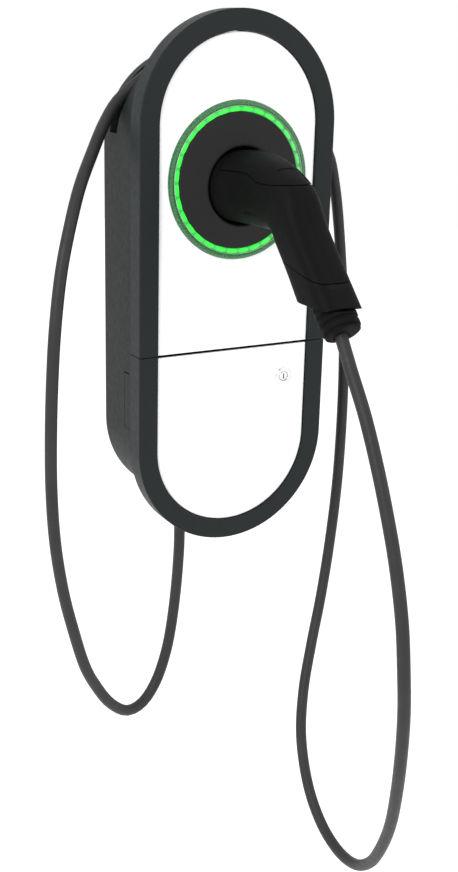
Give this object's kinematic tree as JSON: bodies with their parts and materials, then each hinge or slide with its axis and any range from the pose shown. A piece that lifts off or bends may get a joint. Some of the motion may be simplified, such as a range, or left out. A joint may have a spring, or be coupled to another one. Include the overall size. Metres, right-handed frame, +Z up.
{
  "type": "ev charging station",
  "caption": "Wall-mounted electric vehicle charger with a lit docking ring, a docked connector, its hanging lead and a locked lift-off lower cover.",
  "frame": {"origin": "centre of the wall bracket's back face, level with the middle of the front bezel", "axes": "+Z up, -Y out of the wall towards the user, +X to the right seen from the front"},
  "size_m": [0.4424, 0.4797, 0.998],
  "materials": {
    "shell_grey": "fine moulded texture, dark grey",
    "bezel_grey": "satin dark grey with a blue cast",
    "panel_white": "smooth white",
    "holster_black": "matte",
    "connector_black": "fine spark-eroded texture",
    "rubber": "matt rubber",
    "lead_grey": "satin lead jacket",
    "steel": "zinc plated",
    "chrome": "polished",
    "light_guide": "clear light guide with fine prisms",
    "ring_line": "clear grey rib",
    "led_green": "lit green diffuser",
    "board_green": "solder mask",
    "pale_plastic": "moulded",
    "brass": "machined",
    "orange_plastic": "moulded"
  },
  "bodies": {
    "root": {"wall_bracket": "steel", "rear_housing": "shell_grey", "side_strip": "shell_grey", "side_screw": "steel", "front_frame": "holster_black", "housing_seal": "rubber", "upper_bezel": "bezel_grey", "upper_panel": "panel_white", "ring_outer": "light_guide", "ring_line": "ring_line", "led_ring": "led_green", "led_board": "board_green", "holster_disc": "holster_black", "holster_cup": "holster_black", "control_board": "board_green", "rfid_board": "board_green", "power_relay": "holster_black", "power_supply": "pale_plastic", "current_sensor": "holster_black", "din_rail": "steel", "terminal_block": "pale_plastic", "earth_bar": "brass", "breaker_body": "pale_plastic", "inner_cover": "holster_black", "gland_body": "holster_black", "gland_nut": "holster_black", "gland_seal": "rubber", "cord_clamp": "steel", "supply_plug": "rubber", "lock_strike": "steel", "cable_rear": "lead_grey"},
    "lower_cover": {"lower_bezel": "bezel_grey", "lower_panel": "panel_white", "lock_body": "chrome", "lock_nut": "steel"},
    "lock_barrel": {"lock_plug": "chrome", "lock_cam": "steel"},
    "breaker_lever": {"breaker_toggle": "holster_black"},
    "breaker_test": {"test_button": "orange_plastic"},
    "connector": {"conn_shell_left": "connector_black", "conn_shell_right": "connector_black", "conn_latch_cover": "connector_black", "conn_barrel": "connector_black", "conn_core": "connector_black", "conn_end_collar": "connector_black", "conn_boot": "rubber", "conn_screw_1": "steel", "conn_screw_2": "steel", "latch_pin": "steel", "latch_spring": "steel", "cable_front": "lead_grey", "conn_contact_1": "brass", "conn_contact_2": "brass", "conn_contact_3": "brass", "conn_contact_4": "brass", "conn_contact_5": "brass"},
    "latch": {"latch_lever": "connector_black", "thumb_button": "connector_black"}
  },
  "joints": [
    {"name": "cover_lift_off", "type": "slide", "parent": "root", "child": "lower_cover", "axis": [0, -1, 0], "range_m": [0, 0.05]},
    {"name": "lock_turn", "type": "hinge", "parent": "lower_cover", "child": "lock_barrel", "pos_m": [0.0674, -0.1259, -0.1084], "axis": [0, -1, 0], "range_deg": [0, 90]},
    {"name": "breaker_switch", "type": "hinge", "parent": "root", "child": "breaker_lever", "pos_m": [-0.0055, -0.086, -0.145], "axis": [1, 0, 0], "range_deg": [0, 60]},
    {"name": "test_press", "type": "slide", "parent": "root", "child": "breaker_test", "axis": [0, 1, 0], "range_m": [0, 0.0015], "stiffness_N_per_m": 600},
    {"name": "connector_pull", "type": "slide", "parent": "root", "child": "connector", "axis": [0, -1, 0], "range_m": [0, 0.065]},
    {"name": "latch_press", "type": "hinge", "parent": "connector", "child": "latch", "pos_m": [0, -0.165, 0.1455], "axis": [1, 0, 0], "range_deg": [0, 2], "stiffness_Nm_per_rad": 4, "deforming": ["latch_spring"]}
  ]
}
